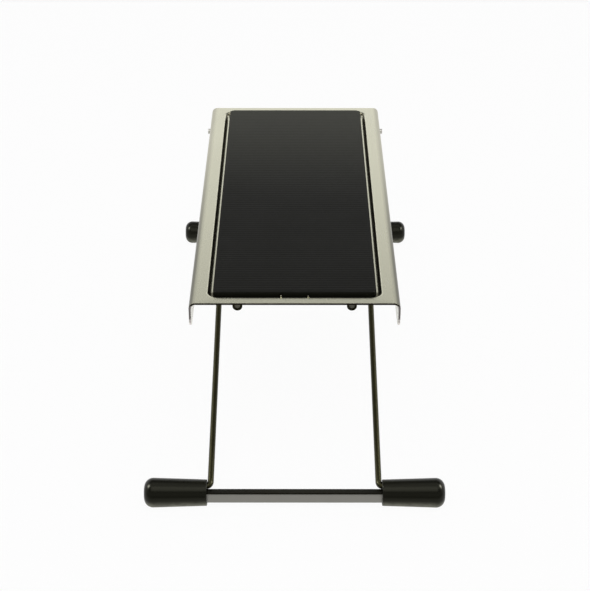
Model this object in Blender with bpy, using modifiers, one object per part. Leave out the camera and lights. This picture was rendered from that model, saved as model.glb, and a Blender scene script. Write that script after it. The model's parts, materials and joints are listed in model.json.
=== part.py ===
"""Folding guitar footrest: a pressed steel tread with a rubber mat, on two crossed wire legs.

Metres, +Z up. The near end of the tread is at -Y, the higher far end at +Y, and +X is to the right.
The origin is on the floor, midway between the four feet.
The front leg turns on the far end of the tread, and the rear leg turns on the front leg where they cross.
"""
from math import cos, hypot, pi, radians, sin, sqrt, tan

import bmesh
import bpy
from mathutils import Vector

# Clearance between pieces that touch or run in each other
CLEARANCE = 0.0003

# Tread plate: one sheet pressed to a channel, with a shallow recess in its top
PLATE_WIDTH = 0.115
PLATE_LENGTH = 0.276
SHEET = 0.0012
BEND_RADIUS = 0.0035
FLANGE_HEIGHT = 0.0165
FLANGE_CORNER = 0.007
SIDE_MARGIN = 0.0095
END_MARGIN = 0.0064
RECESS_DEPTH = 0.002
RECESS_CORNER = 0.0065

# Rubber mat, bonded in the recess and standing proud of the plate
MAT_SIDE_GAP = 0.0013
MAT_PROUD = 0.0021
MAT_CORNER = 0.0035
MAT_EDGE = 0.0008

# Stance at rest, on the lowest setting
BASE_LENGTH = 0.36
NEAR_HEIGHT = 0.1115
NEAR_SETBACK = 0.027
TILT = radians(3.25)

# Leg wires, bent from round steel
WIRE_DIAMETER = 0.0035
WIRE_BEND = 0.003
FRONT_WIRE_INSET = 0.0108
WIRE_GAP = 0.0005
PIVOT_FROM_FAR_END = 0.023
PIVOT_ABOVE_EDGE = 0.0087
PIVOT_PROUD = 0.002

# Crossing: a flattened eye on each wire, a washer between them and a rivet through all three
EYE_DIAMETER = 0.009
EYE_THICKNESS = 0.0022
CROSS_RIVET = 0.003
CROSS_RIVET_HEAD = 0.0064
RIVET_HEAD_HEIGHT = 0.0012

# Feet: a folded cross bar and the wire ends, gripped by a closed vinyl sleeve on each side
BAR_HEIGHT = 0.0061
BAR_DEPTH = 0.0051
BAR_WALL = 0.0012
BAR_CORNER = 0.0008
BAR_OUTWARD = 0.0013
BAR_DROP = 0.0014
WELD_RISE = 0.0003
GRIP_LENGTH = 0.026
SLEEVE_MOUTH = 0.0018
SLEEVE_LENGTH = 0.0347
SLEEVE_WALL = 0.0011
SLEEVE_SWELL = 0.0009
SLEEVE_END = 0.0045
SLEEVE_DOME = 0.005
FOOT_FLAT = 0.0003

# Racks under the tread, with pockets for the rear leg's cross rod
RACK_INSET = 0.0112
RACK_SETBACK = 0.012
RACK_WIDTH = 0.0055
RACK_WALL = 0.0012
RACK_DEPTH = 0.0079
RACK_FLANGE = 0.009
RACK_TONGUE_SETBACK = 0.0004
RACK_TAIL = 0.017
FIRST_POCKET = 0.015
POCKET_PITCH = 0.012
POCKET_COUNT = 5
POCKET_DEPTH = 0.0016
RACK_RIVET = 0.003
RACK_RIVET_HEAD = 0.0056
RACK_RIVET_INSET = 0.012

# Facets: steps of an arc, of the mat's rim and of a wire's quarter, and sides of sleeves and of small round
# pieces. An edge that turns by less than the sharp angle is shaded smooth.
ARC_STEPS = 5
RIM_STEPS = 2
ROUND_SIDES = 24
SMALL_SIDES = 12
WIRE_STEPS = 2
SHARP_ANGLE = radians(32)

# How far a cutter runs past the piece that it cuts, and the distance at which points count as one
OVERCUT = 0.01
MERGE_DISTANCE = 0.000001

# Places across the width, from the flange inwards
WIRE_RADIUS = WIRE_DIAMETER / 2
FRONT_WIRE_X = PLATE_WIDTH / 2 - FRONT_WIRE_INSET
REAR_WIRE_X = FRONT_WIRE_X - WIRE_DIAMETER - WIRE_GAP
RACK_X = REAR_WIRE_X - RACK_INSET
GRIP_X = FRONT_WIRE_X + SLEEVE_MOUTH + GRIP_LENGTH

# Foot section, seen along X from the sleeve's axis: outwards is away from the middle of the part
WIRE_END_IN = BAR_DEPTH / 2 - BAR_OUTWARD + CLEARANCE + WIRE_RADIUS
WIRE_END_UP = BAR_HEIGHT / 2 - BAR_DROP + WELD_RISE
BORE_RADIUS = hypot(BAR_OUTWARD + BAR_DEPTH / 2, BAR_DROP + BAR_HEIGHT / 2) + CLEARANCE
NECK_RADIUS = BORE_RADIUS + SLEEVE_WALL
FOOT_RADIUS = NECK_RADIUS + SLEEVE_SWELL
FOOT_AXIS_Z = FOOT_RADIUS - FOOT_FLAT

# Depths below the tread's top face
PAN_UNDERSIDE = RECESS_DEPTH + SHEET
RACK_BOTTOM = PAN_UNDERSIDE + CLEARANCE + RACK_DEPTH
ROD_DROP = RACK_BOTTOM + CLEARANCE + WIRE_RADIUS
PIVOT_DROP = FLANGE_HEIGHT - PIVOT_ABOVE_EDGE

# Tread frame: its origin is on the near edge of the top face, and Y runs along the plate
TREAD_ORIGIN = Vector((0, NEAR_SETBACK - BASE_LENGTH / 2, NEAR_HEIGHT))


def on_tread(along, drop):
    """World point on the middle plane of the tread, `along` from its near edge and `drop` below its top."""
    forward = along * cos(TILT) + drop * sin(TILT)
    upward = along * sin(TILT) - drop * cos(TILT)
    return TREAD_ORIGIN + Vector((0, forward, upward))


# Side view of the legs: each runs straight from its foot to its top end
PIVOT = on_tread(PLATE_LENGTH - PIVOT_FROM_FAR_END, PIVOT_DROP)
ROD = on_tread(RACK_SETBACK + FIRST_POCKET, ROD_DROP)
FRONT_FOOT = Vector((0, -BASE_LENGTH / 2, FOOT_AXIS_Z))
REAR_FOOT = Vector((0, BASE_LENGTH / 2, FOOT_AXIS_Z))
FRONT_WIRE_END = FRONT_FOOT + Vector((0, WIRE_END_IN, WIRE_END_UP))
REAR_WIRE_END = REAR_FOOT + Vector((0, -WIRE_END_IN, WIRE_END_UP))


def crossing_of(a, b, c, d):
    """Point where line a-b meets line c-d in the YZ plane."""
    ab = b - a
    cd = d - c
    ac = c - a
    share = (ac.y * cd.z - ac.z * cd.y) / (ab.y * cd.z - ab.z * cd.y)
    return a + ab * share


CROSSING = crossing_of(FRONT_WIRE_END, PIVOT, REAR_WIRE_END, ROD)

# Clear the scene, and make the collections
for old in list(bpy.data.objects):
    bpy.data.objects.remove(old, do_unlink=True)
parts = bpy.data.collections.new("guitar_footrest")
cutters = bpy.data.collections.new("cutters")
for group in (parts, cutters):
    bpy.context.scene.collection.children.link(group)


def finish(name, colour, roughness, metallic):
    """Principled material with one colour."""
    material = bpy.data.materials.new(name)
    material.use_nodes = True
    shader = material.node_tree.nodes["Principled BSDF"]
    shader.inputs["Base Color"].default_value = (*colour, 1)
    shader.inputs["Roughness"].default_value = roughness
    shader.inputs["Metallic"].default_value = metallic
    return material


SATIN_NICKEL = finish("satin_nickel", (0.62, 0.59, 0.51), 0.36, 1)
BAR_NICKEL = finish("bar_nickel", (0.24, 0.235, 0.215), 0.38, 1)
BLACK_RUBBER = finish("black_rubber", (0.015, 0.0145, 0.013), 0.6, 0)
BLACK_VINYL = finish("black_vinyl", (0.009, 0.009, 0.008), 0.35, 0)
DARK_WIRE = finish("dark_wire", (0.034, 0.032, 0.02), 0.3, 0.3)
RIVET_STEEL = finish("rivet_steel", (0.50, 0.49, 0.45), 0.35, 1)


def pivot_empty(name, location, tilt=0):
    """Empty that carries the pieces of one body."""
    empty = bpy.data.objects.new(name, None)
    empty.location = location
    empty.rotation_euler = (tilt, 0, 0)
    parts.objects.link(empty)
    return empty


TREAD = pivot_empty("tread_frame", TREAD_ORIGIN, TILT)
FRONT_LEG = pivot_empty("front_leg_pivot", PIVOT)
REAR_LEG = pivot_empty("rear_leg_pivot", CROSSING)


def piece(name, mesh, material, parent, location=(0, 0, 0), rotation=(0, 0, 0)):
    """Named sub-part with its material, carried by a body's empty."""
    mesh.name = name
    mesh.materials.clear()
    mesh.materials.append(material)
    mesh.shade_smooth()
    mesh.set_sharp_from_angle(angle=SHARP_ANGLE)
    obj = bpy.data.objects.new(name, mesh)
    obj.parent = parent
    obj.location = location
    obj.rotation_euler = rotation
    parts.objects.link(obj)
    return obj


def tool(name, mesh, parent, location=(0, 0, 0), rotation=(0, 0, 0)):
    """Guide solid for a Boolean, which isn't a part."""
    obj = bpy.data.objects.new(name, mesh)
    obj.parent = parent
    obj.location = location
    obj.rotation_euler = rotation
    obj.hide_render = True
    obj.display_type = "WIRE"
    cutters.objects.link(obj)
    return obj


def shape(target, solid, operation):
    """Cut a tool from a piece, or join it to the piece."""
    modifier = target.modifiers.new(solid.name, "BOOLEAN")
    modifier.operation = operation
    modifier.solver = "EXACT"
    modifier.object = solid


def mesh_from(bm):
    """Mesh of a finished bmesh, with its faces pointing out."""
    bm.normal_update()
    bmesh.ops.recalc_face_normals(bm, faces=bm.faces)
    mesh = bpy.data.meshes.new("mesh")
    bm.to_mesh(mesh)
    bm.free()
    return mesh


def block(low, high):
    """Box between two corners, as a bmesh."""
    bm = bmesh.new()
    bmesh.ops.create_cube(bm, size=1)
    low = Vector(low)
    size = Vector(high) - low
    for vert in bm.verts:
        vert.co = Vector(low[i] + size[i] * (vert.co[i] + 0.5) for i in range(3))
    return bm


def edges_along(bm, axis, test):
    """Edges that run along one axis and whose middle passes a test."""
    found = []
    for edge in bm.edges:
        run = edge.verts[1].co - edge.verts[0].co
        middle = (edge.verts[0].co + edge.verts[1].co) / 2
        if run.length - abs(run[axis]) < MERGE_DISTANCE and test(middle):
            found.append(edge)
    return found


def round_edges(bm, edges, radius, steps):
    """Round edges, or chamfer them where steps is 1."""
    bmesh.ops.bevel(bm, geom=edges, offset=radius, segments=steps, affect="EDGES", profile=0.5)


def tray(low, high, corner, chamfer, chamfer_steps=1, chamfer_top=False):
    """Box with rounded upright edges, and its lower or upper rim chamfered or rounded."""
    bm = block(low, high)
    round_edges(bm, edges_along(bm, 2, lambda middle: True), corner, ARC_STEPS)
    rim = high[2] if chamfer_top else low[2]
    edges = [edge for edge in bm.edges if all(abs(vert.co.z - rim) < MERGE_DISTANCE for vert in edge.verts)]
    round_edges(bm, edges, chamfer, chamfer_steps)
    return mesh_from(bm)


def rod(diameter, low, high):
    """Cylinder along X between two places."""
    bm = bmesh.new()
    bmesh.ops.create_cone(bm, cap_ends=True, segments=SMALL_SIDES, radius1=diameter / 2, radius2=diameter / 2,
                          depth=high - low)
    for vert in bm.verts:
        vert.co = Vector(((low + high) / 2 + vert.co.z, vert.co.x, vert.co.y))
    return mesh_from(bm)


def solid_of(source):
    """Closed mesh of an object as evaluated, with its loose caps welded."""
    parts.objects.link(source)
    bpy.context.view_layer.update()
    evaluated = source.evaluated_get(bpy.context.evaluated_depsgraph_get())
    bm = bmesh.new()
    bm.from_mesh(bpy.data.meshes.new_from_object(evaluated))
    bpy.data.objects.remove(source, do_unlink=True)
    bmesh.ops.remove_doubles(bm, verts=bm.verts, dist=MERGE_DISTANCE)
    return mesh_from(bm)


def poly_curve(points, dimensions, cyclic):
    """Curve object through the points."""
    curve = bpy.data.curves.new("outline", "CURVE")
    curve.dimensions = dimensions
    spline = curve.splines.new("POLY")
    spline.points.add(len(points) - 1)
    for target, point in zip(spline.points, points):
        target.co = (*point, 1)
    spline.use_cyclic_u = cyclic
    return bpy.data.objects.new("outline", curve)


def extruded(outline, length):
    """Flat outline in XY, extruded along Z to both sides."""
    source = poly_curve([(x, y, 0) for x, y in outline], "2D", True)
    source.data.fill_mode = "BOTH"
    source.data.extrude = length / 2
    return solid_of(source)


def arc(centre, radius, start, end, steps=ARC_STEPS):
    """Points of an arc in a plane, with its angles in degrees."""
    turns = [radians(start + (end - start) * i / steps) for i in range(steps + 1)]
    return [(centre[0] + radius * cos(turn), centre[1] + radius * sin(turn)) for turn in turns]


def bent_path(corners, radius):
    """Points along straight runs, with an arc at each corner."""
    path = [corners[0]]
    for before, corner, after in zip(corners, corners[1:], corners[2:]):
        back = (before - corner).normalized()
        ahead = (after - corner).normalized()
        half = back.angle(ahead) / 2
        middle = corner + (back + ahead).normalized() * radius / sin(half)
        first = (corner + back * radius / tan(half) - middle).normalized()
        last = (corner + ahead * radius / tan(half) - middle).normalized()
        path.extend(middle + first.slerp(last, i / ARC_STEPS) * radius for i in range(ARC_STEPS + 1))
    path.append(corners[-1])
    return path


def wire(corners, origin):
    """Bent round wire through world corners, as a mesh about an origin."""
    path = [point - origin for point in bent_path(corners, WIRE_BEND)]
    source = poly_curve(path, "3D", False)
    source.data.bevel_depth = WIRE_RADIUS
    source.data.bevel_resolution = WIRE_STEPS
    source.data.use_fill_caps = True
    return solid_of(source)


def turned(profile, sides=SMALL_SIDES):
    """Solid of revolution about Z, from a profile at +X that runs from top to bottom."""
    bm = bmesh.new()
    verts = [bm.verts.new((x, 0, z)) for x, z in profile]
    for first, second in zip(verts, verts[1:]):
        bm.edges.new((first, second))
    mesh = bpy.data.meshes.new("profile")
    bm.to_mesh(mesh)
    bm.free()
    source = bpy.data.objects.new("profile", mesh)
    screw = source.modifiers.new("turn", "SCREW")
    screw.steps = sides
    screw.render_steps = sides
    screw.use_merge_vertices = True
    screw.merge_threshold = MERGE_DISTANCE
    return solid_of(source)


# Quarter turns that lay a shape's own Z along another axis
ALONG_X = (pi / 2, 0, pi / 2)
ALONG_Y = (pi / 2, 0, 0)

SIDES = (("left", -1), ("right", 1))


# Tread plate: a channel with rounded bends, less its inside, plus the pan, less the recess and the holes
half_width = PLATE_WIDTH / 2
channel = block((-half_width, 0, -FLANGE_HEIGHT), (half_width, PLATE_LENGTH, 0))
round_edges(channel, edges_along(channel, 1, lambda middle: middle.z > -SHEET), BEND_RADIUS, ARC_STEPS)
round_edges(channel, edges_along(channel, 0, lambda middle: middle.z < -SHEET), FLANGE_CORNER, ARC_STEPS)
top_plate = piece("top_plate", mesh_from(channel), SATIN_NICKEL, TREAD)

inside = block((SHEET - half_width, -OVERCUT, -FLANGE_HEIGHT - OVERCUT),
               (half_width - SHEET, PLATE_LENGTH + OVERCUT, -SHEET))
top_edges = edges_along(inside, 1, lambda middle: middle.z > -FLANGE_HEIGHT)
round_edges(inside, top_edges, BEND_RADIUS - SHEET, ARC_STEPS)
shape(top_plate, tool("channel_inside", mesh_from(inside), TREAD), "DIFFERENCE")

# The wall of the recess slopes at 45 degrees, and the pan under it follows at one sheet's thickness
recess_x = half_width - SIDE_MARGIN
recess_low = END_MARGIN
recess_high = PLATE_LENGTH - END_MARGIN
skin = SHEET * (sqrt(2) - 1)
pan = tray((-recess_x - skin, recess_low - skin, -PAN_UNDERSIDE),
           (recess_x + skin, recess_high + skin, -SHEET / 2), RECESS_CORNER + skin, RECESS_DEPTH)
shape(top_plate, tool("pan", pan, TREAD), "UNION")
recess = tray((-recess_x, recess_low, -RECESS_DEPTH), (recess_x, recess_high, OVERCUT),
              RECESS_CORNER, RECESS_DEPTH)
shape(top_plate, tool("recess", recess, TREAD), "DIFFERENCE")

pivot_hole = rod(WIRE_DIAMETER + 2 * CLEARANCE, -half_width - OVERCUT, half_width + OVERCUT)
pivot_place = (0, PLATE_LENGTH - PIVOT_FROM_FAR_END, -PIVOT_DROP)
shape(top_plate, tool("pivot_holes", pivot_hole, TREAD, pivot_place), "DIFFERENCE")

# Rubber mat on the floor of the recess, with a rounded top rim
mat_x = recess_x - RECESS_DEPTH - MAT_SIDE_GAP
mat = tray((-mat_x, recess_low + RECESS_DEPTH + CLEARANCE, CLEARANCE - RECESS_DEPTH),
           (mat_x, recess_high - RECESS_DEPTH - CLEARANCE, MAT_PROUD), MAT_CORNER, MAT_EDGE, RIM_STEPS, True)
piece("rubber_mat", mat, BLACK_RUBBER, TREAD)

# Racks: a strip folded to a round-bottomed trough, with a flange on its inner side that is riveted to the pan.
# A tongue is folded up just inside the near end, and closes the trough there.
rack_length = FIRST_POCKET + (POCKET_COUNT - 1) * POCKET_PITCH + RACK_TAIL
rack_middle = RACK_SETBACK + rack_length / 2
outer = RACK_WIDTH / 2
inner = outer - RACK_WALL
bend = outer - RACK_DEPTH
rack_section = [(outer, 0), (inner, 0), *arc((0, bend), inner, 0, -180, 2 * ARC_STEPS), (-inner, 0),
                (-outer - RACK_FLANGE, 0), (-outer - RACK_FLANGE, -RACK_WALL), (-outer, -RACK_WALL),
                *arc((0, bend), outer, 180, 360, 2 * ARC_STEPS)]
half_wall = RACK_WALL / 2
tongue_section = [(inner + half_wall, -RACK_WALL),
                  *arc((0, bend), inner + half_wall, 0, -180, 2 * ARC_STEPS), (-inner - half_wall, -RACK_WALL)]
tongue_middle = RACK_SETBACK + RACK_TONGUE_SETBACK + half_wall
rivet_places = (RACK_SETBACK + RACK_RIVET_INSET, RACK_SETBACK + rack_length - RACK_RIVET_INSET)
rack_top = -PAN_UNDERSIDE - CLEARANCE
rivet_x = RACK_X - outer - RACK_FLANGE / 2
rivet_hole = RACK_RIVET / 2 + CLEARANCE
rivet_seat = rack_top - RACK_WALL - CLEARANCE
rivet_profile = [(0, -RECESS_DEPTH), (RACK_RIVET / 2, -RECESS_DEPTH), (RACK_RIVET / 2, rivet_seat),
                 (RACK_RIVET_HEAD / 2, rivet_seat), (RACK_RIVET_HEAD / 2, rivet_seat - RIVET_HEAD_HEIGHT / 2),
                 (RACK_RIVET / 2, rivet_seat - RIVET_HEAD_HEIGHT), (0, rivet_seat - RIVET_HEAD_HEIGHT)]
pocket_radius = WIRE_RADIUS + CLEARANCE
for side, sign in SIDES:
    section = [(sign * x, y) for x, y in rack_section]
    rack = piece(f"rack_{side}", extruded(section, rack_length), DARK_WIRE, TREAD,
                 (sign * RACK_X, rack_middle, rack_top), ALONG_Y)
    tongue = tool(f"tongue_{side}", extruded(tongue_section, RACK_WALL), TREAD,
                  (sign * RACK_X, tongue_middle, rack_top), ALONG_Y)
    shape(rack, tongue, "UNION")
    for number in range(POCKET_COUNT):
        along = RACK_SETBACK + FIRST_POCKET + number * POCKET_PITCH
        pocket = rod(2 * pocket_radius, -RACK_WIDTH, RACK_WIDTH)
        place = (sign * RACK_X, along, -RACK_BOTTOM + POCKET_DEPTH - pocket_radius)
        shape(rack, tool(f"pocket_{side}_{number + 1}", pocket, TREAD, place), "DIFFERENCE")
    for end, along in zip(("near", "far"), rivet_places):
        drill_profile = [(0, OVERCUT), (rivet_hole, OVERCUT), (rivet_hole, -OVERCUT), (0, -OVERCUT)]
        place = (sign * rivet_x, along, -PAN_UNDERSIDE)
        drill = tool(f"rivet_hole_{side}_{end}", turned(drill_profile), TREAD, place)
        shape(rack, drill, "DIFFERENCE")
        shape(top_plate, drill, "DIFFERENCE")
        rivet_place = (sign * rivet_x, along, 0)
        piece(f"rack_rivet_{side}_{end}", turned(rivet_profile), RIVET_STEEL, TREAD, rivet_place)


def flattened_eye(leg_wire, name, centre_x, parent, centre):
    """Forge a round eye on a straight wire: a disc, flats on both its faces, and the rivet's hole."""
    half = EYE_THICKNESS / 2
    disc = tool(f"{name}_disc", rod(EYE_DIAMETER, centre_x - half, centre_x + half), parent, centre)
    shape(leg_wire, disc, "UNION")
    for face, sign in SIDES:
        ends = sorted((centre_x + sign * half, centre_x + sign * WIRE_DIAMETER))
        flat = tool(f"{name}_flat_{face}", rod(EYE_DIAMETER + 2 * CLEARANCE, *ends), parent, centre)
        shape(leg_wire, flat, "DIFFERENCE")
    hole = rod(CROSS_RIVET + 2 * CLEARANCE, centre_x - WIRE_DIAMETER, centre_x + WIRE_DIAMETER)
    shape(leg_wire, tool(f"{name}_hole", hole, parent, centre), "DIFFERENCE")


# Front leg: each wire turns outwards into the flange at its top, and outwards into a sleeve at its foot
tip_x = half_width + PIVOT_PROUD
eye_on_front = CROSSING - PIVOT
for side, sign in SIDES:
    route = ((tip_x, PIVOT), (FRONT_WIRE_X, PIVOT), (FRONT_WIRE_X, FRONT_WIRE_END), (GRIP_X, FRONT_WIRE_END))
    corners = [Vector((sign * x, point.y, point.z)) for x, point in route]
    front_wire = piece(f"front_leg_wire_{side}", wire(corners, PIVOT), DARK_WIRE, FRONT_LEG)
    flattened_eye(front_wire, f"front_eye_{side}", sign * FRONT_WIRE_X, FRONT_LEG, eye_on_front)

# Rear leg: one wire bent to a U, whose top run is the rod that drops into the racks' pockets
route = ((-GRIP_X, REAR_WIRE_END), (-REAR_WIRE_X, REAR_WIRE_END), (-REAR_WIRE_X, ROD),
         (REAR_WIRE_X, ROD), (REAR_WIRE_X, REAR_WIRE_END), (GRIP_X, REAR_WIRE_END))
corners = [Vector((x, point.y, point.z)) for x, point in route]
rear_wire = piece("rear_leg_wire", wire(corners, CROSSING), DARK_WIRE, REAR_LEG)
for side, sign in SIDES:
    flattened_eye(rear_wire, f"rear_eye_{side}", sign * REAR_WIRE_X, REAR_LEG, (0, 0, 0))

# Crossing rivets and washers, carried by the front leg
washer_low = REAR_WIRE_X + EYE_THICKNESS / 2 + CLEARANCE
washer_high = FRONT_WIRE_X - EYE_THICKNESS / 2 - CLEARANCE
shank_low = REAR_WIRE_X - EYE_THICKNESS / 2 - CLEARANCE
shank_high = FRONT_WIRE_X + EYE_THICKNESS / 2 + CLEARANCE
shank = CROSS_RIVET / 2
head = CROSS_RIVET_HEAD / 2
dome = RIVET_HEAD_HEIGHT / 2
rivet_ends = [(0, shank_high + RIVET_HEAD_HEIGHT), (shank, shank_high + RIVET_HEAD_HEIGHT),
              (head, shank_high + dome), (head, shank_high), (shank, shank_high), (shank, shank_low),
              (head, shank_low), (head, shank_low - dome), (shank, shank_low - RIVET_HEAD_HEIGHT),
              (0, shank_low - RIVET_HEAD_HEIGHT)]
washer_bore = shank + CLEARANCE
washer_ring = [(washer_bore, washer_high), (head, washer_high), (head, washer_low), (washer_bore, washer_low),
               (washer_bore, washer_high)]
for side, sign in SIDES:
    towards = (0, sign * pi / 2, 0)
    piece(f"cross_rivet_{side}", turned(rivet_ends), RIVET_STEEL, FRONT_LEG, eye_on_front, towards)
    piece(f"cross_washer_{side}", turned(washer_ring), RIVET_STEEL, FRONT_LEG, eye_on_front, towards)

# Feet: the cross bar is a strip folded to a channel that is open towards the middle of the part
bar_y = BAR_DEPTH / 2
bar_z = BAR_HEIGHT / 2
corner_y = BAR_CORNER - bar_y
corner_z = bar_z - BAR_CORNER
bar_section = [(bar_y, bar_z), *arc((corner_y, corner_z), BAR_CORNER, 90, 180),
               *arc((corner_y, -corner_z), BAR_CORNER, 180, 270), (bar_y, -bar_z),
               (bar_y, BAR_WALL - bar_z), (BAR_WALL - bar_y, BAR_WALL - bar_z),
               (BAR_WALL - bar_y, bar_z - BAR_WALL), (bar_y, bar_z - BAR_WALL)]

# Sleeve profile along X: a bore with a closed, domed end, which swells evenly from its mouth to the dome
mouth = FRONT_WIRE_X + SLEEVE_MOUTH
tip = mouth + SLEEVE_LENGTH
dome_middle = (FOOT_RADIUS - SLEEVE_DOME, tip - SLEEVE_DOME)
sleeve_profile = [(0, tip), *arc(dome_middle, SLEEVE_DOME, 90, 0, 2 * ARC_STEPS),
                  (NECK_RADIUS, mouth), (BORE_RADIUS, mouth), (BORE_RADIUS, tip - SLEEVE_END),
                  (0, tip - SLEEVE_END)]
feet = (("front", FRONT_LEG, FRONT_FOOT - PIVOT, 1), ("rear", REAR_LEG, REAR_FOOT - CROSSING, -1))
for end, leg, foot, inwards in feet:
    section = [(inwards * y, z) for y, z in bar_section]
    bar_place = foot + Vector((0, -inwards * BAR_OUTWARD, -BAR_DROP))
    piece(f"{end}_cross_bar", extruded(section, 2 * GRIP_X), BAR_NICKEL, leg, bar_place, ALONG_X)
    for side, sign in SIDES:
        sleeve_mesh = turned(sleeve_profile, ROUND_SIDES)
        towards = (0, sign * pi / 2, 0)
        sleeve = piece(f"{end}_foot_sleeve_{side}", sleeve_mesh, BLACK_VINYL, leg, foot, towards)
        low, high = sorted((0, sign * (tip + OVERCUT)))
        ground = block((low, -FOOT_RADIUS, -FOOT_RADIUS - OVERCUT), (high, FOOT_RADIUS, -FOOT_AXIS_Z))
        shape(sleeve, tool(f"{end}_ground_{side}", mesh_from(ground), leg, foot), "DIFFERENCE")
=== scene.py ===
"""Looks of a folding guitar footrest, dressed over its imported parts.

Metres, +Z up, in the parts' own frame.
"""
import json
from math import atan2, cos, pi, radians, sin, sqrt, tan

import bmesh
import bpy
from mathutils import Matrix, Vector


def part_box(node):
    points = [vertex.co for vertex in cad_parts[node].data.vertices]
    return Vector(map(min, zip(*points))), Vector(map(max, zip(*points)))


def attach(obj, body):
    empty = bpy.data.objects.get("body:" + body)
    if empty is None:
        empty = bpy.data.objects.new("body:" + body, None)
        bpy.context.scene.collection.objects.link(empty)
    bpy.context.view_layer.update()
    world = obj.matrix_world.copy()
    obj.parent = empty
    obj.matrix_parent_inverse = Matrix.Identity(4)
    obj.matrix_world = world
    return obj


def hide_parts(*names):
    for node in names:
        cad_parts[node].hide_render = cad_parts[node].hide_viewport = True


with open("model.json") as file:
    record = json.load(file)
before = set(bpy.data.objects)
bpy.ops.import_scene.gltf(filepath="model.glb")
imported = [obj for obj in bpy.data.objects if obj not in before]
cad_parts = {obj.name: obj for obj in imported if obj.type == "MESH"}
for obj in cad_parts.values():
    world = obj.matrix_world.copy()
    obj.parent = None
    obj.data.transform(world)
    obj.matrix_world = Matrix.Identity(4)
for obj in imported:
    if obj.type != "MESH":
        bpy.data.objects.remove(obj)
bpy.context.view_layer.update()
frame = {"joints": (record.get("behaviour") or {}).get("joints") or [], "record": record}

# Tread plate
# One sheet of steel with a warm satin nickel plate. Its long sides are folded down as flanges, and a shallow
# pan with sloping walls is pressed into its top for the mat. The legs and the racks hang from it.
PLATE_LENGTH = 0.276
SHEET = 0.0012
BEND_RADIUS = 0.0035
FLANGE_HEIGHT = 0.0165
FLANGE_CORNER = 0.007
SIDE_MARGIN = 0.0095
END_MARGIN = 0.0064
PAN_DEPTH = 0.002
PAN_CORNER = 0.0065
PAN_SLOPE = radians(45)
PAN_TOP_FILLET = 0.0015
PAN_FLOOR_FILLET = 0.0009
SHEARED_EDGE = 0.0002
RUNNING_GAP = 0.0003
MAT_PROUD = 0.0021
WIRE_DIAMETER = 0.0035
CORNER_STEPS = 16
FILLET_STEPS = 5
BEND_STEPS = 10
FLANGE_ROWS = 3
PIN_SIDES = 32
EDGE_STEPS = 2
MERGE_DISTANCE = 0.000002
SMOOTH_BELOW = radians(35)
ROUND_ABOVE = radians(50)
SQUARE_ON = 0.7
EDGE_ON = 0.3

NICKEL_DEEP = (0.740, 0.730, 0.568)
NICKEL_PALE = (0.806, 0.795, 0.630)
NICKEL_SCRATCHED = (0.76, 0.75, 0.62)
BEND_PAINTED_SHADE = (0.44, 0.427, 0.335)
BEND_PAINTED_SHADE_NEAR = (0.115, 0.111, 0.083)
PAN_PAINTED_SHADE = (0.14, 0.13, 0.085)
FLANGE_INSIDE = (0.80, 0.79, 0.73)
EDGE_BROWN = (0.072, 0.060, 0.043)
EDGE_PALE = (0.70, 0.655, 0.63)
SCRATCH_FROM = 0.66
SCRATCH_FULL = 0.72
NICKEL_ROUGHNESS = 0.17
NICKEL_RELIEF = 0.000003

half_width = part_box("top_plate")[1].x
half_length = PLATE_LENGTH / 2
pan_x = half_width - SIDE_MARGIN
pan_y = half_length - END_MARGIN

tread_face = next(mount for mount in frame["record"]["mounts"] if mount["name"] == "tread_face")
tread_up = Vector(tread_face["axis"])
tread_along = Vector((0, tread_up.z, -tread_up.y))
tread_slope = atan2(-tread_up.y, tread_up.z)
tread_middle = Vector(tread_face["pos_m"]) - tread_up * MAT_PROUD
tread_place = Matrix.Translation(tread_middle) @ Matrix.Rotation(tread_slope, 4, "X")
joint_at = {joint["name"]: Vector(joint["pos_m"]) for joint in frame["joints"]}


class Shade:
    """A node's socket for Python expressions, each of which adds the nodes that work it out."""

    def __init__(self, tree, socket=None):
        self.tree = tree
        self.socket = socket

    def add(self, kind, settings, inputs, output=0):
        """New node: its settings first, then its sockets' values or links. Gives one of its outputs."""
        node = self.tree.nodes.new(kind)
        for name, value in settings.items():
            setattr(node, name, value)
        for name, value in inputs.items():
            if isinstance(value, Shade):
                self.tree.links.new(value.socket, node.inputs[name])
            else:
                node.inputs[name].default_value = value
        return Shade(self.tree, node.outputs[output])

    def maths(self, operation, first, second=0.0):
        """Result of a sum on one or two values."""
        return self.add("ShaderNodeMath", {"operation": operation}, {0: first, 1: second})

    def __add__(self, other):
        return self.maths("ADD", self, other)

    def __sub__(self, other):
        return self.maths("SUBTRACT", self, other)

    def __rsub__(self, other):
        return self.maths("SUBTRACT", other, self)

    def __mul__(self, other):
        return self.maths("MULTIPLY", self, other)

    def __abs__(self):
        return self.maths("ABSOLUTE", self)

    __radd__ = __add__
    __rmul__ = __mul__


def cloud(place, per_metre, detail=2.0, stretch=(1, 1, 1)):
    """Soft noise from 0 to 1, with about `per_metre` patches a metre before it is stretched."""
    stretched = place.add("ShaderNodeMapping", {}, {"Vector": place, "Scale": stretch})
    return place.add("ShaderNodeTexNoise", {}, {"Vector": stretched, "Scale": per_metre, "Detail": detail})


def axis_of(place, axis):
    """One of the coordinates of a place, in metres."""
    return place.add("ShaderNodeSeparateXYZ", {}, {"Vector": place}, axis)


def ramp(value, low, high):
    """Smooth step from 0 at `low` to 1 at `high`."""
    return value.add("ShaderNodeMapRange", {"interpolation_type": "SMOOTHSTEP"},
                     {"Value": value, "From Min": low, "From Max": high})


def tint(share, first, second):
    """Colour between two colours."""
    ends = [colour if isinstance(colour, Shade) else (*colour, 1) for colour in (first, second)]
    return share.add("ShaderNodeMix", {"data_type": "RGBA"}, {0: share, 6: ends[0], 7: ends[1]}, 2)


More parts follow.
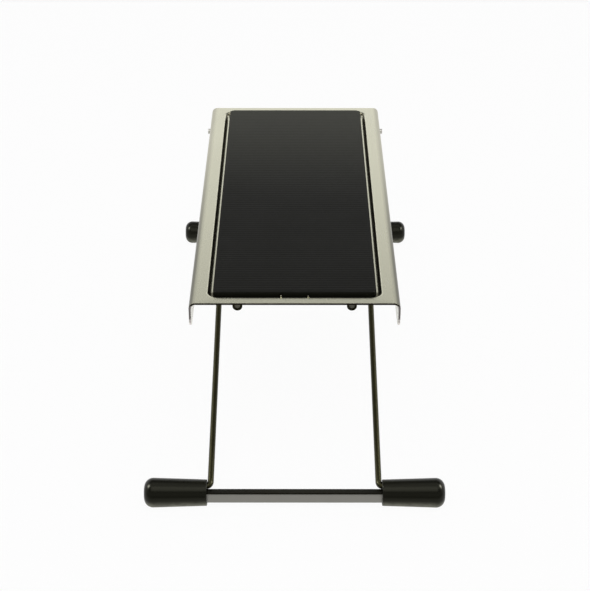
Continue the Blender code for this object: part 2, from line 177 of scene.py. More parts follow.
def relief(height, depth):
    """Normal of a surface with a fine relief, `depth` metres deep."""
    return height.add("ShaderNodeBump", {}, {"Height": height, "Strength": 1.0, "Distance": depth})


def marked(place, name):
    """Value that a mesh carries under a name."""
    return place.add("ShaderNodeAttribute", {"attribute_name": name}, {}, "Fac")


def finish(name, paint):
    """Material whose Principled sockets are what paint gives for the piece's own coordinates."""
    material = bpy.data.materials.new(name)
    material.use_nodes = True
    tree = material.node_tree
    shader = tree.nodes["Principled BSDF"]
    place = Shade(tree).add("ShaderNodeTexCoord", {}, {}, "Object")
    for socket, value in paint(place).items():
        if isinstance(value, Shade):
            tree.links.new(value.socket, shader.inputs[socket])
        else:
            shader.inputs[socket].default_value = value
    return material


def from_tread(place, direction):
    """Distance from the middle of the plate's top face in one direction, in metres."""
    reach = place.add("ShaderNodeVectorMath", {"operation": "DOT_PRODUCT"},
                      {0: place, 1: direction}, "Value")
    return reach - direction.dot(tread_middle)


def plate_nickel(place):
    """Warm satin nickel: cloudy, with faint rolling lines and scratches along the sheet.

    The bends are darkened with painted shade, darkest towards the near end, and their gloss is dulled. The
    pan's wall and its near corners are darkened with painted shade. The flanges are cleaner inside. The
    sheared edges are brown, and paler on the flanges.
    """
    patches = cloud(place, per_metre=28, detail=4)
    grain = cloud(place, per_metre=2600)
    rolling = cloud(place, per_metre=60, detail=3, stretch=(26, 0.35, 26))
    scratches = ramp(cloud(place, per_metre=90, stretch=(7, 0.5, 7)), SCRATCH_FROM, SCRATCH_FULL)
    height = from_tread(place, tread_up)
    along = from_tread(place, tread_along)
    across = abs(axis_of(place, "X"))
    # Painted shade along the bends, darkest towards the near end; their roughness rises there too.
    bend = ramp(across, half_width - 1.15 * BEND_RADIUS, half_width - 0.34 * BEND_RADIUS)
    bend = bend * ramp(height, -2.6 * BEND_RADIUS, -BEND_RADIUS)
    toward_near_end = ramp(along, 0.7 * half_length, -0.75 * half_length)
    # Painted shade on the pan's sloping wall and on its floor towards the near corners.
    in_pan = ramp(height, -0.1 * PAN_DEPTH, -0.25 * PAN_DEPTH)
    in_pan = in_pan * (1 - ramp(across, pan_x, pan_x + 0.5 * PAN_DEPTH))
    on_wall = ramp(height, -0.8 * PAN_DEPTH, -0.65 * PAN_DEPTH)
    near_end = ramp(along, 1.65 * PAN_CORNER - pan_y, 1.2 * PAN_CORNER - pan_y)
    pan_shade = in_pan * on_wall.maths("MAXIMUM", on_wall, near_end)
    inside = ramp(across, half_width - 0.3 * SHEET, half_width - 0.8 * SHEET)
    inside = inside * ramp(height, -BEND_RADIUS, -1.3 * BEND_RADIUS)
    plated = tint(patches, NICKEL_DEEP, NICKEL_PALE)
    scratched = tint(0.5 * scratches, plated, NICKEL_SCRATCHED)
    bend_toned = tint(bend, scratched, tint(toward_near_end, BEND_PAINTED_SHADE, BEND_PAINTED_SHADE_NEAR))
    pan_shaded = tint(pan_shade, bend_toned, PAN_PAINTED_SHADE)
    cleaner = tint(0.8 * inside, pan_shaded, FLANGE_INSIDE)
    cut_edge = tint(ramp(height, -SHEET, -0.8 * BEND_RADIUS), EDGE_BROWN, EDGE_PALE)
    return {
        "Base Color": tint(marked(place, "sheared"), cleaner, cut_edge),
        "Metallic": 1.0,
        "Roughness": NICKEL_ROUGHNESS + 0.09 * patches + 0.05 * rolling + 0.04 * grain + 0.10 * bend,
        "Normal": relief(0.4 * grain + 0.6 * rolling, NICKEL_RELIEF),
    }


def plain_mesh(obj):
    """Mesh of an object with its modifiers applied. The object goes."""
    bpy.context.scene.collection.objects.link(obj)
    bpy.context.view_layer.update()
    mesh = bpy.data.meshes.new_from_object(obj.evaluated_get(bpy.context.evaluated_depsgraph_get()))
    bpy.data.objects.remove(obj, do_unlink=True)
    return mesh


def mesh_of(bm, outwards=True):
    """Mesh of a finished bmesh, merged, with its faces turned outwards unless they stay as drawn."""
    bmesh.ops.remove_doubles(bm, verts=bm.verts, dist=MERGE_DISTANCE)
    bm.normal_update()
    if outwards:
        bmesh.ops.recalc_face_normals(bm, faces=bm.faces)
    mesh = bpy.data.meshes.new("mesh")
    bm.to_mesh(mesh)
    bm.free()
    return mesh


def rounded(mesh, width, steps=EDGE_STEPS):
    """Mesh with its sharp edges rounded."""
    obj = bpy.data.objects.new("rounded", mesh)
    bevel = obj.modifiers.new("rounded", "BEVEL")
    bevel.limit_method = "ANGLE"
    bevel.angle_limit = ROUND_ABOVE
    bevel.width = width
    bevel.segments = steps
    return plain_mesh(obj)


def combined(mesh, other, operation="DIFFERENCE"):
    """Mesh less another mesh, or joined to it."""
    tool = bpy.data.objects.new("tool", other)
    bpy.context.scene.collection.objects.link(tool)
    obj = bpy.data.objects.new("combined", mesh)
    boolean = obj.modifiers.new("combined", "BOOLEAN")
    boolean.operation = operation
    boolean.solver = "EXACT"
    boolean.object = tool
    result = plain_mesh(obj)
    bpy.data.objects.remove(tool, do_unlink=True)
    return result


def cross_pin(radius, length, place):
    """Round bar across the part, along X."""
    bm = bmesh.new()
    turn = Matrix.Rotation(pi / 2, 4, "Y")
    bmesh.ops.create_cone(bm, cap_ends=True, segments=PIN_SIDES, radius1=radius, radius2=radius,
                          depth=length, matrix=Matrix.Translation(place) @ turn)
    return mesh_of(bm)


def show(name, mesh, material, body, slot, *nodes):
    """Piece of the footrest, carried by a body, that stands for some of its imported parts."""
    mesh.shade_smooth()
    mesh.set_sharp_from_angle(angle=SMOOTH_BELOW)
    shaded = bpy.data.objects.new("shaded", mesh)
    shaded.modifiers.new("flat faces stay flat", "WEIGHTED_NORMAL").keep_sharp = True
    mesh = plain_mesh(shaded)
    mesh.name = name
    mesh.materials.clear()
    mesh.materials.append(material)
    obj = bpy.data.objects.new(name, mesh)
    bpy.context.scene.collection.objects.link(obj)
    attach(obj, body)
    if nodes:
        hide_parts(*nodes)


def turns_to(angle, steps):
    """Angles from 0 to an angle, in equal steps."""
    return [angle * step / steps for step in range(steps + 1)]


def all_round(corner):
    """Points right round the plate, from one corner's points mirrored to all four."""
    points = []
    for across, along, backwards in ((1, 1, False), (-1, 1, True), (-1, -1, False), (1, -1, True)):
        run = [(across * x, along * y) for x, y in corner]
        points += reversed(run) if backwards else run
    return points


def pan_ring(inset):
    """Outline of the pan, drawn in by an inset."""
    radius = PAN_CORNER - inset
    return all_round([(pan_x - PAN_CORNER + radius * cos(turn), pan_y - PAN_CORNER + radius * sin(turn))
                      for turn in turns_to(pi / 2, CORNER_STEPS)])


def plate_ring(edge_x, edge_y):
    """Outline of the plate's flat top, with its points drawn together towards the corners."""
    shares = [step / CORNER_STEPS * 2 - 1 for step in range(CORNER_STEPS + 1)]
    return all_round([(edge_x - (edge_x - pan_x + PAN_CORNER) * max(share, 0) ** 2,
                       edge_y - (edge_y - pan_y + PAN_CORNER) * min(share, 0) ** 2) for share in shares])


def fillet(radius):
    """Run and rise at each step along the arc between a flat and the pan's sloping wall."""
    return [(radius * (sin(turn) - tan(PAN_SLOPE / 2)), radius * (1 - cos(turn)))
            for turn in turns_to(PAN_SLOPE, FILLET_STEPS)]


def flange_drop(along):
    """Depth of a flange's lower edge, which is rounded towards both ends."""
    left = half_length - abs(along)
    if left >= FLANGE_CORNER:
        return FLANGE_HEIGHT
    return FLANGE_HEIGHT - FLANGE_CORNER + sqrt(FLANGE_CORNER ** 2 - (FLANGE_CORNER - left) ** 2)


sheet = bmesh.new()
top_edge = half_width - BEND_RADIUS
rings = [[(x, y, 0) for x, y in plate_ring(top_edge, half_length)]]
rings += [[(x, y, -rise) for x, y in pan_ring(run)] for run, rise in fillet(PAN_TOP_FILLET)]
rings += [[(x, y, rise - PAN_DEPTH) for x, y in pan_ring(PAN_DEPTH - run)]
          for run, rise in reversed(fillet(PAN_FLOOR_FILLET))]
ring_verts = [[sheet.verts.new(point) for point in ring] for ring in rings]
for outer, inner in zip(ring_verts, ring_verts[1:]):
    for i in range(len(outer)):
        sheet.faces.new((outer[i - 1], outer[i], inner[i], inner[i - 1]))
sheet.faces.new(ring_verts[-1])
for side in (-1, 1):
    columns = sorted({y for x, y, z in rings[0] if side * x > top_edge - MERGE_DISTANCE})
    strip = []
    for along in columns:
        profile = [(top_edge + BEND_RADIUS * sin(turn), BEND_RADIUS * (1 - cos(turn)))
                   for turn in turns_to(pi / 2, BEND_STEPS)]
        straight = flange_drop(along) - BEND_RADIUS
        profile += [(half_width, BEND_RADIUS + straight * row / FLANGE_ROWS)
                    for row in range(1, FLANGE_ROWS + 1)]
        strip.append([sheet.verts.new((side * x, along, -drop)) for x, drop in profile])
    for near, far in zip(strip, strip[1:]):
        for i in range(len(near) - 1):
            face = (near[i], near[i + 1], far[i + 1], far[i])
            sheet.faces.new(face if side > 0 else face[::-1])
sheet_obj = bpy.data.objects.new("sheet", mesh_of(sheet, outwards=False))
wall = sheet_obj.modifiers.new("wall", "SOLIDIFY")
wall.thickness = SHEET
wall.offset = -1
wall.use_even_offset = True
wall.use_quality_normals = True
plate_mesh = plain_mesh(sheet_obj)

pivot = tread_place.inverted() @ joint_at["front_leg_hinge"]
wire_radius = WIRE_DIAMETER / 2
plate_mesh = combined(plate_mesh, cross_pin(wire_radius + RUNNING_GAP, 4 * half_width, pivot))
plate_mesh = rounded(plate_mesh, SHEARED_EDGE)


def mark(mesh, name, share_of):
    """Give each face of a mesh a value under a name."""
    shares = mesh.attributes.new(name, "FLOAT", "FACE")
    shares.data.foreach_set("value", [float(share_of(face)) for face in mesh.polygons])


def is_sheared(face):
    """Whether a face is on the sheet's cut edge, at an end or along a flange."""
    at_end = abs(face.center.y) > half_length - SHEARED_EDGE and abs(face.normal.y) > SQUARE_ON
    on_flange = abs(face.center.x) > half_width - SHEET and abs(face.normal.x) < EDGE_ON
    return at_end or (on_flange and face.center.z < -BEND_RADIUS)


mark(plate_mesh, "sheared", is_sheared)
plate_mesh.transform(tread_place)
plate_finish = finish("plate_nickel", plate_nickel)
show("tread_plate", plate_mesh, plate_finish, "tread", "satin_nickel", "top_plate")


# Rubber mat
# A black rubber sheet with fine moulded ribs across it, cut to the pan and glued to its floor. It stands a
# little proud of the plate, shoes have greyed the tops of its ribs, and a painted sheen lightens its far
# end.
MAT_SIDE_GAP = 0.0013
MAT_CORNER = 0.0035
MAT_EDGE = 0.0007
RIB_PITCH = 0.0026
RIB_WIDTH = 0.0025
RIB_HEIGHT = 0.00005
RIB_SIDES = 20
RIB_END_INSET = 0.00025

MAT_BLACK = (0.0049, 0.0050, 0.0033)
MAT_WORN = (0.0056, 0.0057, 0.0040)
MAT_PAINTED_SHEEN = (0.0455, 0.046, 0.0365)
WEAR_FROM = 0.3
WEAR_FULL = 0.75
MAT_ROUGHNESS = 0.34
MAT_SPECULAR = 0.062
MAT_RELIEF = 0.00002

mat_x = pan_x - PAN_DEPTH - MAT_SIDE_GAP
mat_y = pan_y - PAN_DEPTH - RUNNING_GAP
mat_ground = MAT_PROUD - RIB_HEIGHT


def loft(rings):
    """Closed bmesh through rings of as many points each, with a flat face at both ends."""
    bm = bmesh.new()
    verts = [[bm.verts.new(point) for point in ring] for ring in rings]
    for lower, upper in zip(verts, verts[1:]):
        for i in range(len(lower)):
            bm.faces.new((lower[i - 1], lower[i], upper[i], upper[i - 1]))
    bm.faces.new(verts[0])
    bm.faces.new(verts[-1])
    return bm


def node_tree(name, sizes):
    """New Geometry Nodes tree with a mesh and named sizes as its inputs. Gives the tree and its inputs."""
    tree = bpy.data.node_groups.new(name, "GeometryNodeTree")
    tree.interface.new_socket("Geometry", in_out="OUTPUT", socket_type="NodeSocketGeometry")
    tree.interface.new_socket("Geometry", in_out="INPUT", socket_type="NodeSocketGeometry")
    for size, kind in sizes.items():
        tree.interface.new_socket(size, in_out="INPUT", socket_type=f"NodeSocket{kind}")
    node = tree.nodes.new("NodeGroupInput")
    return tree, {socket.name: Shade(tree, socket) for socket in node.outputs if socket.name}


def close_tree(tree, geometry, material):
    """End a tree: its instances made real, in one material."""
    real = geometry.add("GeometryNodeRealizeInstances", {}, {"Geometry": geometry})
    dressed = real.add("GeometryNodeSetMaterial", {}, {"Geometry": real, "Material": material})
    end = tree.nodes.new("NodeGroupOutput")
    tree.links.new(dressed.socket, end.inputs["Geometry"])


def grown(mesh, tree, values):
    """Plain mesh that a tree makes from a mesh, with its inputs set by name."""
    obj = bpy.data.objects.new("grown", mesh)
    modifier = obj.modifiers.new("grown", "NODES")
    modifier.node_group = tree
    for item in tree.interface.items_tree:
        if item.in_out == "INPUT" and item.name in values:
            modifier[item.identifier] = values[item.name]
    return plain_mesh(obj)


def mat_rubber(place):
    """Black rubber, greyed on the ribs' tops where shoes rub, with a fine skin.

    A painted sheen lightens it towards the far end.
    """
    crest = ramp(from_tread(place, tread_up), mat_ground, MAT_PROUD)
    across = 1 - ramp(abs(axis_of(place, "X")), 0.4 * mat_x, mat_x)
    patches = cloud(place, per_metre=35, detail=4)
    skin = cloud(place, per_metre=3200, detail=3)
    worn = crest * across * ramp(patches, WEAR_FROM, WEAR_FULL)
    rubber = tint(worn, MAT_BLACK, MAT_WORN)
    # Painted sheen: the rubber is mixed towards a lighter grey towards the far end.
    far_sheen = ramp(from_tread(place, tread_along), -0.25 * mat_y, 1.15 * mat_y)
    return {
        "Base Color": tint(far_sheen * (0.75 + 0.5 * patches), rubber, MAT_PAINTED_SHEEN),
        "Roughness": MAT_ROUGHNESS + 0.12 * patches + 0.10 * skin,
        "Specular IOR Level": MAT_SPECULAR,
        "Normal": relief(skin, MAT_RELIEF),
    }


mat_finish = finish("mat_rubber", mat_rubber)
rib_tree, rib_size = node_tree("mat_ribs", {
    "Rib Count": "Int", "Rib Pitch": "Float", "Rib Width": "Float", "Rib Height": "Float",
    "Half Width": "Float", "Half Length": "Float", "Corner": "Float", "Ground": "Float"})
line_start = rib_size["Rib Pitch"] * (1 - rib_size["Rib Count"]) * 0.5
first_rib = line_start.add("ShaderNodeCombineXYZ", {}, {"Y": line_start, "Z": rib_size["Ground"]})
rib_step = line_start.add("ShaderNodeCombineXYZ", {}, {"Y": rib_size["Rib Pitch"]})
rib_line = line_start.add("GeometryNodeMeshLine", {}, {
    "Count": rib_size["Rib Count"], "Start Location": first_rib, "Offset": rib_step})
rib_bar = line_start.add("GeometryNodeMeshCylinder", {}, {
    "Vertices": RIB_SIDES, "Radius": 1.0, "Depth": 2.0})
rib_section = line_start.add("ShaderNodeCombineXYZ", {}, {
    "X": rib_size["Rib Height"], "Y": rib_size["Rib Width"] * 0.5, "Z": rib_size["Half Width"]})
rib = line_start.add("GeometryNodeTransform", {}, {
    "Geometry": rib_bar, "Rotation": (0, pi / 2, 0), "Scale": rib_section})
rib_along = axis_of(line_start.add("GeometryNodeInputPosition", {}, {}), "Y")
into_corner = abs(rib_along) - (rib_size["Half Length"] - rib_size["Corner"])
into_corner = into_corner.maths("MAXIMUM", into_corner)
corner_chord = rib_size["Corner"] * rib_size["Corner"] - into_corner * into_corner
corner_inset = rib_size["Corner"] - corner_chord.maths("SQRT", corner_chord.maths("MAXIMUM", corner_chord))
rib_share = 1 - corner_inset.maths("DIVIDE", corner_inset, rib_size["Half Width"])
rib_scale = line_start.add("ShaderNodeCombineXYZ", {}, {"X": rib_share, "Y": 1.0, "Z": 1.0})
ribs = line_start.add("GeometryNodeInstanceOnPoints", {}, {
    "Points": rib_line, "Instance": rib, "Scale": rib_scale})
mat_whole = line_start.add("GeometryNodeJoinGeometry", {}, {"Geometry": ribs})
rib_tree.links.new(rib_size["Geometry"].socket, mat_whole.socket.node.inputs["Geometry"])
close_tree(rib_tree, mat_whole, mat_finish)


def rounded_ring(half_x, half_y, radius, height):
    """Rounded rectangle at one height."""
    corner = [(half_x - radius + radius * cos(turn), half_y - radius + radius * sin(turn))
              for turn in turns_to(pi / 2, CORNER_STEPS)]
    return [(x, y, height) for x, y in all_round(corner)]


edge_turns = turns_to(pi / 2, FILLET_STEPS)
mat_edge = [(MAT_EDGE * (1 - cos(turn)), mat_ground - MAT_EDGE * (1 - sin(turn))) for turn in edge_turns]
mat_profile = [(0, RUNNING_GAP - PAN_DEPTH), *mat_edge]
slab = loft([rounded_ring(mat_x - inset, mat_y - inset, MAT_CORNER - inset, height)
             for inset, height in mat_profile])
mat_mesh = grown(mesh_of(slab), rib_tree, {
    "Rib Count": int(2 * (mat_y - MAT_EDGE) / RIB_PITCH), "Rib Pitch": RIB_PITCH, "Rib Width": RIB_WIDTH,
    "Rib Height": RIB_HEIGHT, "Half Width": mat_x - RIB_END_INSET, "Half Length": mat_y,
    "Corner": MAT_CORNER, "Ground": mat_ground})
mat_mesh.transform(tread_place)
show("ribbed_mat", mat_mesh, mat_finish, "tread", "black_rubber", "rubber_mat")


# Racks
# Two dark-plated steel strips, each folded to a round-bottomed trough with a flange that is riveted under
# the pan and a tongue, dull grey where it was bent, that closes its near end. Five pockets across the trough
# hold the rear leg's top run, one for each height.
SIDES = (("left", -1), ("right", 1))
RACK_SETBACK = 0.012
RACK_LENGTH = 0.08
RACK_MIDDLE = 0.0315
RACK_WIDTH = 0.0055
RACK_WALL = 0.0012
RACK_DEPTH = 0.0079
RACK_FLANGE = 0.009
RACK_TONGUE_SETBACK = 0.0004
RACK_EDGE = 0.00015
FIRST_POCKET = 0.015
POCKET_PITCH = 0.012
POCKET_COUNT = 5
POCKET_DEPTH = 0.0016
POCKET_SIDES = 24
TROUGH_STEPS = 24

PLATING_DEEP = (0.0257, 0.0242, 0.0105)
PLATING_PALE = (0.0387, 0.0366, 0.0166)
TONGUE_DEEP = (0.110, 0.104, 0.082)
TONGUE_PALE = (0.205, 0.195, 0.156)
TONGUE_DULL = 0.9
PEENED_STEEL = (0.60, 0.59, 0.55)
PEENED_FROM = 0.09
PEENED_ABOVE = 0.1
PLATING_ROUGHNESS = 0.32
PLATING_COAT = 0.15
COAT_ROUGHNESS = 0.18
PLATING_RELIEF = 0.000002

rack_top = -(PAN_DEPTH + SHEET + RUNNING_GAP)
rack_near = RACK_SETBACK - half_length
pocket_radius = wire_radius + RUNNING_GAP


def dark_plating(place):
    """Dark olive-black plating on drawn steel: cloudy, with an uneven gloss.

    It is bare on a peened pivot tip, and dull on a rack's bent tongue.
    """
    patches = cloud(place, per_metre=90, detail=4)
    grain = cloud(place, per_metre=2400)
    peened = ramp(abs(axis_of(place, "X")), half_width + RUNNING_GAP, half_width + 2 * RUNNING_GAP)
    peened = peened * ramp(axis_of(place, "Z"), PEENED_FROM, PEENED_ABOVE)
    bent = marked(place, "bent")
    plating = tint(patches, PLATING_DEEP, PLATING_PALE)
    bend_toned = tint(bent, plating, tint(patches, TONGUE_DEEP, TONGUE_PALE))
    return {
        "Base Color": tint(peened, bend_toned, PEENED_STEEL),
        "Metallic": 1 - TONGUE_DULL * bent,
        "Roughness": PLATING_ROUGHNESS + 0.10 * patches + 0.05 * grain,
        "Coat Weight": PLATING_COAT * (1 - peened),
        "Coat Roughness": COAT_ROUGHNESS,
        "Normal": relief(grain, PLATING_RELIEF),
    }


def sweep(start, end, steps):
    """Angles from one to another in equal steps, given in degrees."""
    return [radians(start + (end - start) * step / steps) for step in range(steps + 1)]


def trough(radius, start, end):
    """Points round the trough's bottom, across and down from the rack's top."""
    return [(radius * cos(turn), RACK_WIDTH / 2 - RACK_DEPTH + radius * sin(turn))
            for turn in sweep(start, end, TROUGH_STEPS)]


dark_finish = finish("dark_plating", dark_plating)
pocket_tree, pocket_size = node_tree("rack_pockets", {
    "Pocket Count": "Int", "Pocket Pitch": "Float", "First Pocket": "Vector", "Pocket Radius": "Float",
    "Pocket Width": "Float"})
pitch = pocket_size["Pocket Pitch"]
pocket_step = pitch.add("ShaderNodeCombineXYZ", {}, {"Y": pitch})
pocket_line = pitch.add("GeometryNodeMeshLine", {}, {
    "Count": pocket_size["Pocket Count"], "Start Location": pocket_size["First Pocket"],
    "Offset": pocket_step})
pocket_pin = pitch.add("GeometryNodeMeshCylinder", {}, {
    "Vertices": POCKET_SIDES, "Radius": pocket_size["Pocket Radius"], "Depth": pocket_size["Pocket Width"]})
pocket_across = pitch.add("GeometryNodeTransform", {}, {"Geometry": pocket_pin, "Rotation": (0, pi / 2, 0)})
pockets = pitch.add("GeometryNodeInstanceOnPoints", {}, {"Points": pocket_line, "Instance": pocket_across})
pocket_cutters = pitch.add("GeometryNodeRealizeInstances", {}, {"Geometry": pockets})
notched = pitch.add("GeometryNodeMeshBoolean", {"operation": "DIFFERENCE", "solver": "EXACT"}, {
    "Mesh 1": pocket_size["Geometry"], "Mesh 2": pocket_cutters})
close_tree(pocket_tree, notched, dark_finish)

outer = RACK_WIDTH / 2
inner = outer - RACK_WALL
rack_section = [(outer, 0), (inner, 0), *trough(inner, 0, -180), (-inner, 0), (-outer - RACK_FLANGE, 0),
                (-outer - RACK_FLANGE, -RACK_WALL), (-outer, -RACK_WALL), *trough(outer, 180, 360)]
tongue = inner + RACK_WALL / 2
tongue_section = [(tongue, -RACK_WALL), *trough(tongue, 0, -180), (-tongue, -RACK_WALL)]
tongue_near = rack_near + RACK_TONGUE_SETBACK


def is_tongue(face):
    """Whether a face is on the near side of a rack's tongue."""
    return abs(face.center.y - tongue_near) < RACK_TONGUE_SETBACK / 2 and face.normal.y < -SQUARE_ON


for side, sign in SIDES:
    strip, plug = [mesh_of(loft([[(sign * (RACK_MIDDLE + x), along, rack_top + z) for x, z in section]
                                 for along in ends]))
                   for section, ends in ((rack_section, (rack_near, rack_near + RACK_LENGTH)),
                                         (tongue_section, (tongue_near, tongue_near + RACK_WALL)))]
    pocket_middle = rack_top - RACK_DEPTH + POCKET_DEPTH - pocket_radius
    rack_mesh = grown(combined(strip, plug, "UNION"), pocket_tree, {
        "Pocket Count": POCKET_COUNT, "Pocket Pitch": POCKET_PITCH, "Pocket Radius": pocket_radius,
        "Pocket Width": 2 * RACK_WIDTH,
        "First Pocket": (sign * RACK_MIDDLE, rack_near + FIRST_POCKET, pocket_middle)})
    rack_mesh = rounded(rack_mesh, RACK_EDGE)
    mark(rack_mesh, "bent", is_tongue)
    rack_mesh.transform(tread_place)
    show(f"notched_rack_{side}", rack_mesh, dark_finish, "tread", "dark_wire", f"rack_{side}")


# Rack rivets
# Four steel rivets with domed heads, set through the racks' flanges and the pan. Their tails are hammered
# flush in the pan's floor, under the mat.
RACK_RIVET = 0.003
RACK_RIVET_HEAD = 0.0056
RACK_RIVET_INSET = 0.012
RIVET_HEAD_HEIGHT = 0.0012
RIVET_SIDES = 40
DOME_STEPS = 8

STEEL_DEEP = (0.36, 0.345, 0.31)
STEEL_PALE = (0.50, 0.485, 0.44)
STEEL_ROUGHNESS = 0.27
STEEL_RELIEF = 0.000008


def rivet_steel(place):
    """Plain plated steel: grey, slightly blotched, with a fine grain."""
    patches = cloud(place, per_metre=160, detail=4)
    grain = cloud(place, per_metre=4200)
    return {
        "Base Color": tint(patches, STEEL_DEEP, STEEL_PALE),
        "Metallic": 1.0,
        "Roughness": STEEL_ROUGHNESS + 0.16 * patches + 0.05 * grain,
        "Normal": relief(grain, STEEL_RELIEF),
    }


def turned(profile, sides):
    """Solid of revolution about Z, from its radius and height at each step from one end to the other."""
    turns = [2 * pi * side / sides for side in range(sides)]
    bm = bmesh.new()
    rings = [[bm.verts.new((radius * cos(turn), radius * sin(turn), height)) for turn in turns]
             for radius, height in profile]
    for lower, upper in zip(rings, rings[1:]):
        for i in range(sides):
            bm.faces.new((lower[i - 1], lower[i], upper[i], upper[i - 1]))
    bmesh.ops.remove_doubles(bm, verts=bm.verts, dist=MERGE_DISTANCE)
    bmesh.ops.dissolve_degenerate(bm, edges=bm.edges, dist=MERGE_DISTANCE)
    return bm


def dome(radius, height, base):
    """Profile of a rivet's head that stands on a base and rises to its crown."""
    return [(radius * cos(turn), base + height * sin(turn)) for turn in turns_to(pi / 2, DOME_STEPS)]


steel_finish = finish("rivet_steel", rivet_steel)
pattern_tree, pattern_size = node_tree("like_pieces", {
    "Count Across": "Int", "Count Along": "Int", "Spacing Across": "Float", "Spacing Along": "Float"})
across_count = pattern_size["Count Across"]
pattern_grid = across_count.add("GeometryNodeMeshGrid", {}, {
    "Size X": pattern_size["Spacing Across"] * (across_count - 1),
    "Size Y": pattern_size["Spacing Along"] * (pattern_size["Count Along"] - 1),
    "Vertices X": across_count, "Vertices Y": pattern_size["Count Along"]})
like_pieces = across_count.add("GeometryNodeInstanceOnPoints", {}, {
    "Points": pattern_grid, "Instance": pattern_size["Geometry"]})
close_tree(pattern_tree, like_pieces, steel_finish)

rivet_seat = -(rack_top - RACK_WALL - RUNNING_GAP)
rivet_profile = [(0, PAN_DEPTH), (RACK_RIVET / 2, PAN_DEPTH), (RACK_RIVET / 2, rivet_seat),
                 *dome(RACK_RIVET_HEAD / 2, RIVET_HEAD_HEIGHT, rivet_seat)]
rivet_bm = turned(rivet_profile, RIVET_SIDES)
bmesh.ops.rotate(rivet_bm, verts=rivet_bm.verts, matrix=Matrix.Rotation(pi, 3, "X"))
rivet_x = RACK_MIDDLE - outer - RACK_FLANGE / 2
rack_rivets = grown(mesh_of(rivet_bm), pattern_tree, {
    "Count Across": 2, "Count Along": 2, "Spacing Across": 2 * rivet_x,
    "Spacing Along": RACK_LENGTH - 2 * RACK_RIVET_INSET})
rack_rivets.transform(tread_place @ Matrix.Translation((0, rack_near + RACK_LENGTH / 2, 0)))
show("rack_rivets", rack_rivets, steel_finish, "tread", "rivet_steel", "rack_rivet_left_near",
     "rack_rivet_left_far", "rack_rivet_right_near", "rack_rivet_right_far")


# Mat catches
# Two small pips, pressed up from the sheet in the middle of the pan's near wall. They keep the mat from
# creeping forwards. Their nickel split as they were pressed, so they are nearly as dull as the cut edges.
CATCH_WIDTH = 0.0009
CATCH_HEIGHT = 0.001
CATCH_SPACING = 0.0148
CATCH_INSET = 0.0005
CATCH_SIDES = 16
CATCH_SPLIT = 0.75

catch_radius = CATCH_WIDTH / 2
catch_profile = [(0, -PAN_DEPTH / 2), (catch_radius, -PAN_DEPTH / 2), *dome(catch_radius, CATCH_HEIGHT, 0)]
mat_catches = grown(mesh_of(turned(catch_profile, CATCH_SIDES)), pattern_tree, {
    "Count Across": 2, "Count Along": 1, "Spacing Across": CATCH_SPACING})
mat_catches.transform(tread_place @ Matrix.Translation((0, CATCH_INSET - pan_y, 0)))
mark(mat_catches, "sheared", lambda face: CATCH_SPLIT)
show("mat_catches", mat_catches, plate_finish, "tread", "satin_nickel")


# Leg wires
# Round steel wire with a dark olive-black plating. Each front wire is bent outwards into a flange at its top
# and into a foot at its bottom. The rear leg is one wire bent to a U. They are hammered to flat eyes where
# they cross.
FRONT_WIRE_X = 0.0467
REAR_WIRE_X = 0.0427
WIRE_BEND = 0.003
WIRE_ROUNDNESS = 5
BEND_POINTS = 12
EYE_DIAMETER = 0.009
EYE_THICKNESS = 0.0022
EYE_REACH = 0.009
EYE_STEP = 0.0006
CROSS_RIVET = 0.003
WIRE_END_EDGE = 0.0005
WIRE_END_STEPS = 3
ON_RUN = 0.000001
PIVOT_PROUD = 0.002

wire_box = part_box("front_leg_wire_left")
rear_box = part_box("rear_leg_wire")
front_end = Vector((0, wire_box[0].y + wire_radius, wire_box[0].z + wire_radius))
rear_end = Vector((0, rear_box[1].y - wire_radius, rear_box[0].z + wire_radius))
lock_run = Vector((0, rear_box[0].y + wire_radius, rear_box[1].z - wire_radius))
pivot_at = joint_at["front_leg_hinge"]
crossing = joint_at["rear_leg_pivot"]
tip_x = half_width + PIVOT_PROUD
grip_x = rear_box[1].x


def bent_path(corners, eyes):
    """Points along straight runs with an arc at each corner, and closer points at each eye."""
    path = [corners[0]]
    for before, corner, after in zip(corners, corners[1:], corners[2:]):
        back = (before - corner).normalized()
        ahead = (after - corner).normalized()
        half = back.angle(ahead) / 2
        middle = corner + (back + ahead).normalized() * WIRE_BEND / sin(half)
        first = (corner + back * WIRE_BEND / tan(half) - middle).normalized()
        last = (corner + ahead * WIRE_BEND / tan(half) - middle).normalized()
        arc = [middle + first.slerp(last, i / BEND_POINTS) * WIRE_BEND for i in range(BEND_POINTS + 1)]
        for eye in eyes:
            run = arc[0] - path[-1]
            reach = eye - path[-1]
            if 0 < reach.dot(run) < run.dot(run) and reach.cross(run).length < ON_RUN:
                count = int(EYE_REACH / EYE_STEP)
                towards = run.normalized()
                path += [eye + towards * EYE_STEP * i for i in range(-count, count + 1)]
        path += arc
    path.append(corners[-1])
    return path


